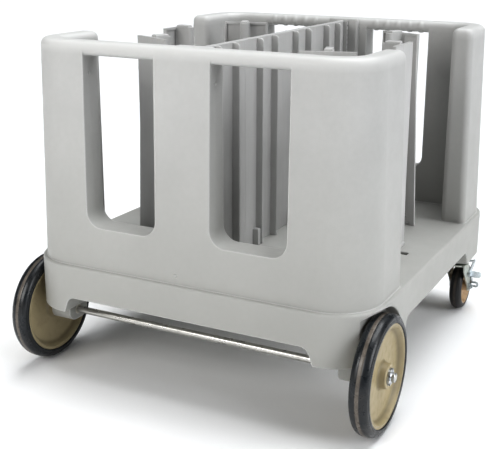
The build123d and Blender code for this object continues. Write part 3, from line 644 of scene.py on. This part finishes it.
def caster_tyre_outline(width, radius, seat, count=72):
    """Section of a caster tyre: a large tyre's superellipse with n = 2.3, and a groove on each shoulder."""
    groove_depth, groove_width, groove_at = 0.0004, 0.0008, 0.28
    t = np.linspace(0, np.pi, count)
    power = 2 / 2.3
    x = width / 2 * np.sign(np.cos(t)) * np.abs(np.cos(t)) ** power
    height = np.abs(np.sin(t)) ** power
    groove = groove_depth * np.exp(-(((np.abs(x) - groove_at * width) / groove_width) ** 2))
    return np.stack([x, np.maximum(seat + (radius - seat) * height - groove, seat)], axis=-1)


def caster_centre_outline(width, boss, rim_radius, bore):
    """Section of a caster wheel's centre: thin rim lip, dished web and boss."""
    half = width / 2 - 0.001
    boss_nose, boss_foot = 0.0125, 0.0150
    side = [
        (boss, bore, 0.0002),
        (boss, boss_nose, 0.001),
        (0.0045, boss_foot, 0.004),
        (0.0035, rim_radius - 0.0085, 0.005),
        (half - 0.0015, rim_radius - 0.0038, 0.001),
        (half, rim_radius - 0.0030, 0.0006),
        (half, rim_radius - 0.0002, 0.0004),
    ]
    return rounded(both_sides(side), 5)


class CART_OT_casters(bpy.types.Operator):
    """Turn the caster wheels and finish the forks, races and brakes"""

    bl_idname = "cart.casters"
    bl_label = "Casters"

    def execute(self, context):
        centre_finish = wheel_plastic("tan caster centre", (0.46, 0.33, 0.20), 0.42)
        rubber_colour, groove_colour = (0.012, 0.012, 0.012), (0.05, 0.04, 0.032)
        band_width, segments = 0.007, 128
        plate = plated_steel("zinc plated fork", (0.46, 0.48, 0.44), 0.42)
        bright = plated_steel("zinc plated lever", (0.56, 0.60, 0.62), 0.32)
        pressed = ("top_plate", "ball_race", "kingpin", "fork")
        small = ("axle_bolt", "axle_nut", "brake_lever", "brake_pin", "sleeve")
        dress([f"{hand}_caster_{piece}" for hand in HANDS for piece in pressed], plate)
        dress(["caster_bolts"] + [f"{hand}_caster_{piece}" for hand in HANDS for piece in small], bright)
        for hand in HANDS:
            body, tyre, hub = f"{hand}_caster_wheel", f"{hand}_caster_tyre", f"{hand}_caster_hub"
            width, boss = width_of(tyre), width_of(hub) / 2
            middle, radius = centre_and_radius(tyre)
            _, rim_radius = centre_and_radius(hub)
            _, bore = centre_and_radius(f"{hand}_caster_sleeve")
            rubber = tyre_rubber(
                f"{hand} caster rubber", rubber_colour, groove_colour, middle[0], band_width, roughness=0.4
            )
            outline = caster_tyre_outline(width, radius, rim_radius + SEAT_GAP)
            turn_piece(f"{hand}_small_tyre", outline, middle, rubber, segments, body, "caster_tread", tyre)
            outline = caster_centre_outline(width, boss, rim_radius, bore + SEAT_GAP)
            place = middle, centre_finish, segments
            turn_piece(f"{hand}_small_wheel_centre", outline, *place, body, "caster_centre", hub)
        return {"FINISHED"}


def soft_box(name, place, target, size, power, colour=(1, 1, 1)):
    """A square light of size metres at place, that faces target."""
    data = bpy.data.lights.new(name, "AREA")
    data.shape = "SQUARE"
    data.size = size
    data.energy = power
    data.color = colour
    light = bpy.data.objects.new(name, data)
    light.location = place
    light.rotation_euler = (Vector(target) - Vector(place)).to_track_quat("-Z", "Y").to_euler()
    bpy.context.scene.collection.objects.link(light)


def soft_light(name, source, spread, strength, colour=(1, 1, 1)):
    """A light as wide in the sky as spread degrees, that shines from the direction source on everything."""
    data = bpy.data.lights.new(name, "SUN")
    data.angle = math.radians(spread)
    data.energy = strength
    data.color = colour
    light = bpy.data.objects.new(name, data)
    light.rotation_euler = Vector(source).to_track_quat("Z", "Y").to_euler()
    bpy.context.scene.collection.objects.link(light)


def pale_floor(colour, half=60.0):
    """A square floor at height zero that reaches past what any view shows."""
    finish = Finish("pale floor", colour, 0.75, Specular_IOR_Level=0.2)
    corners = np.array([(-half, -half, 0), (half, -half, 0), (half, half, 0), (-half, half, 0)], float)
    new_piece("floor", corners, np.array([[0, 1, 2, 3]]), finish.material)


def studio_sky(strength):
    """Weak even light from all round, with a plain white backdrop where the sky itself is seen."""
    world = bpy.data.worlds.new("soft studio")
    world.use_nodes = True
    tree = world.node_tree
    light, backdrop = tree.nodes["Background"], tree.nodes.new("ShaderNodeBackground")
    light.inputs["Color"].default_value = (0.94, 0.97, 1.0, 1.0)
    light.inputs["Strength"].default_value = strength
    backdrop.inputs["Color"].default_value = (1.0, 1.0, 1.0, 1.0)
    rays, either = tree.nodes.new("ShaderNodeLightPath"), tree.nodes.new("ShaderNodeMixShader")
    tree.links.new(rays.outputs["Is Camera Ray"], either.inputs[0])
    tree.links.new(light.outputs[0], either.inputs[1])
    tree.links.new(backdrop.outputs[0], either.inputs[2])
    tree.links.new(either.outputs[0], tree.nodes["World Output"].inputs["Surface"])
    return world


def camera_matrix(place, yaw, pitch, roll):
    """The camera's place and turn: yaw about the upright, pitch down from the level, roll about its view."""
    level = math.cos(pitch)
    forward = np.array([-math.sin(yaw) * level, math.cos(yaw) * level, -math.sin(pitch)])
    right = np.array([math.cos(yaw), math.sin(yaw), 0.0])
    up = np.cross(right, forward)
    across = math.cos(roll) * right + math.sin(roll) * up
    upright = -math.sin(roll) * right + math.cos(roll) * up
    matrix = Matrix((across, upright, -forward)).transposed().to_4x4()
    matrix.translation = Vector(place)
    return matrix


class CART_OT_stage(bpy.types.Operator):
    """Add the pale floor, the soft light and the camera"""

    bl_idname = "cart.stage"
    bl_label = "Floor, Light and Camera"

    def execute(self, context):
        scene, settings = context.scene, context.scene.cart_stage
        pale_floor(settings.floor_colour)
        scene.world = studio_sky(settings.sky_strength)
        scene.view_settings.view_transform = "Standard"
        scene.view_settings.gamma = DISPLAY_GAMMA
        warm, cool, sky_blue = (1.0, 0.995, 0.985), (0.97, 0.98, 1.0), (0.97, 0.985, 1.0)
        soft_box("key", KEY_PLACE, KEY_AIM, KEY_SIZE, settings.key_power, warm)
        soft_light("fill", FILL_SOURCE, FILL_SPREAD, settings.fill_power, cool)
        soft_light("top", TOP_SOURCE, TOP_SPREAD, settings.top_power, sky_blue)

        data = bpy.data.cameras.new("camera")
        data.sensor_fit = "HORIZONTAL"
        data.sensor_width = 36.0
        data.lens = settings.lens
        data.shift_x = -(FACED_X - FRAME_WIDTH / 2) / FRAME_WIDTH
        data.shift_y = (FACED_Y - FRAME_HEIGHT / 2) / FRAME_WIDTH
        data.clip_end = 100.0
        camera = bpy.data.objects.new("camera", data)
        camera.matrix_world = camera_matrix(CAMERA_PLACE, CAMERA_YAW, CAMERA_PITCH, CAMERA_ROLL)
        scene.collection.objects.link(camera)
        scene.camera = camera
        return {"FINISHED"}


class CART_PT_panel(bpy.types.Panel):
    """The cart's operators and their settings"""

    bl_idname = "CART_PT_panel"
    bl_label = "Plate Cart"
    bl_space_type = "VIEW_3D"
    bl_region_type = "UI"
    bl_category = "Plate Cart"

    def draw(self, context):
        for group in SETTINGS:
            box = self.layout.box()
            settings = getattr(context.scene, group)
            for name in settings.__annotations__:
                box.prop(settings, name)
        for operator in OPERATORS:
            self.layout.operator(operator.bl_idname)


SETTINGS = {
    "cart_body": CartBodySettings,
    "cart_wheels": CartWheelSettings,
    "cart_stage": CartStageSettings,
}
OPERATORS = (
    CART_OT_body,
    CART_OT_spine,
    CART_OT_large_wheels,
    CART_OT_axle,
    CART_OT_casters,
    CART_OT_stage,
)


def register():
    for name, settings in SETTINGS.items():
        bpy.utils.register_class(settings)
        setattr(bpy.types.Scene, name, bpy.props.PointerProperty(type=settings))
    for operator in OPERATORS:
        bpy.utils.register_class(operator)
    bpy.utils.register_class(CART_PT_panel)


def unregister():
    bpy.utils.unregister_class(CART_PT_panel)
    for operator in reversed(OPERATORS):
        bpy.utils.unregister_class(operator)
    for name, settings in SETTINGS.items():
        delattr(bpy.types.Scene, name)
        bpy.utils.unregister_class(settings)


def main():
    register()
    for operator in OPERATORS:
        group, name = operator.bl_idname.split(".")
        getattr(getattr(bpy.ops, group), name)()


if __name__ == "__main__":
    main()
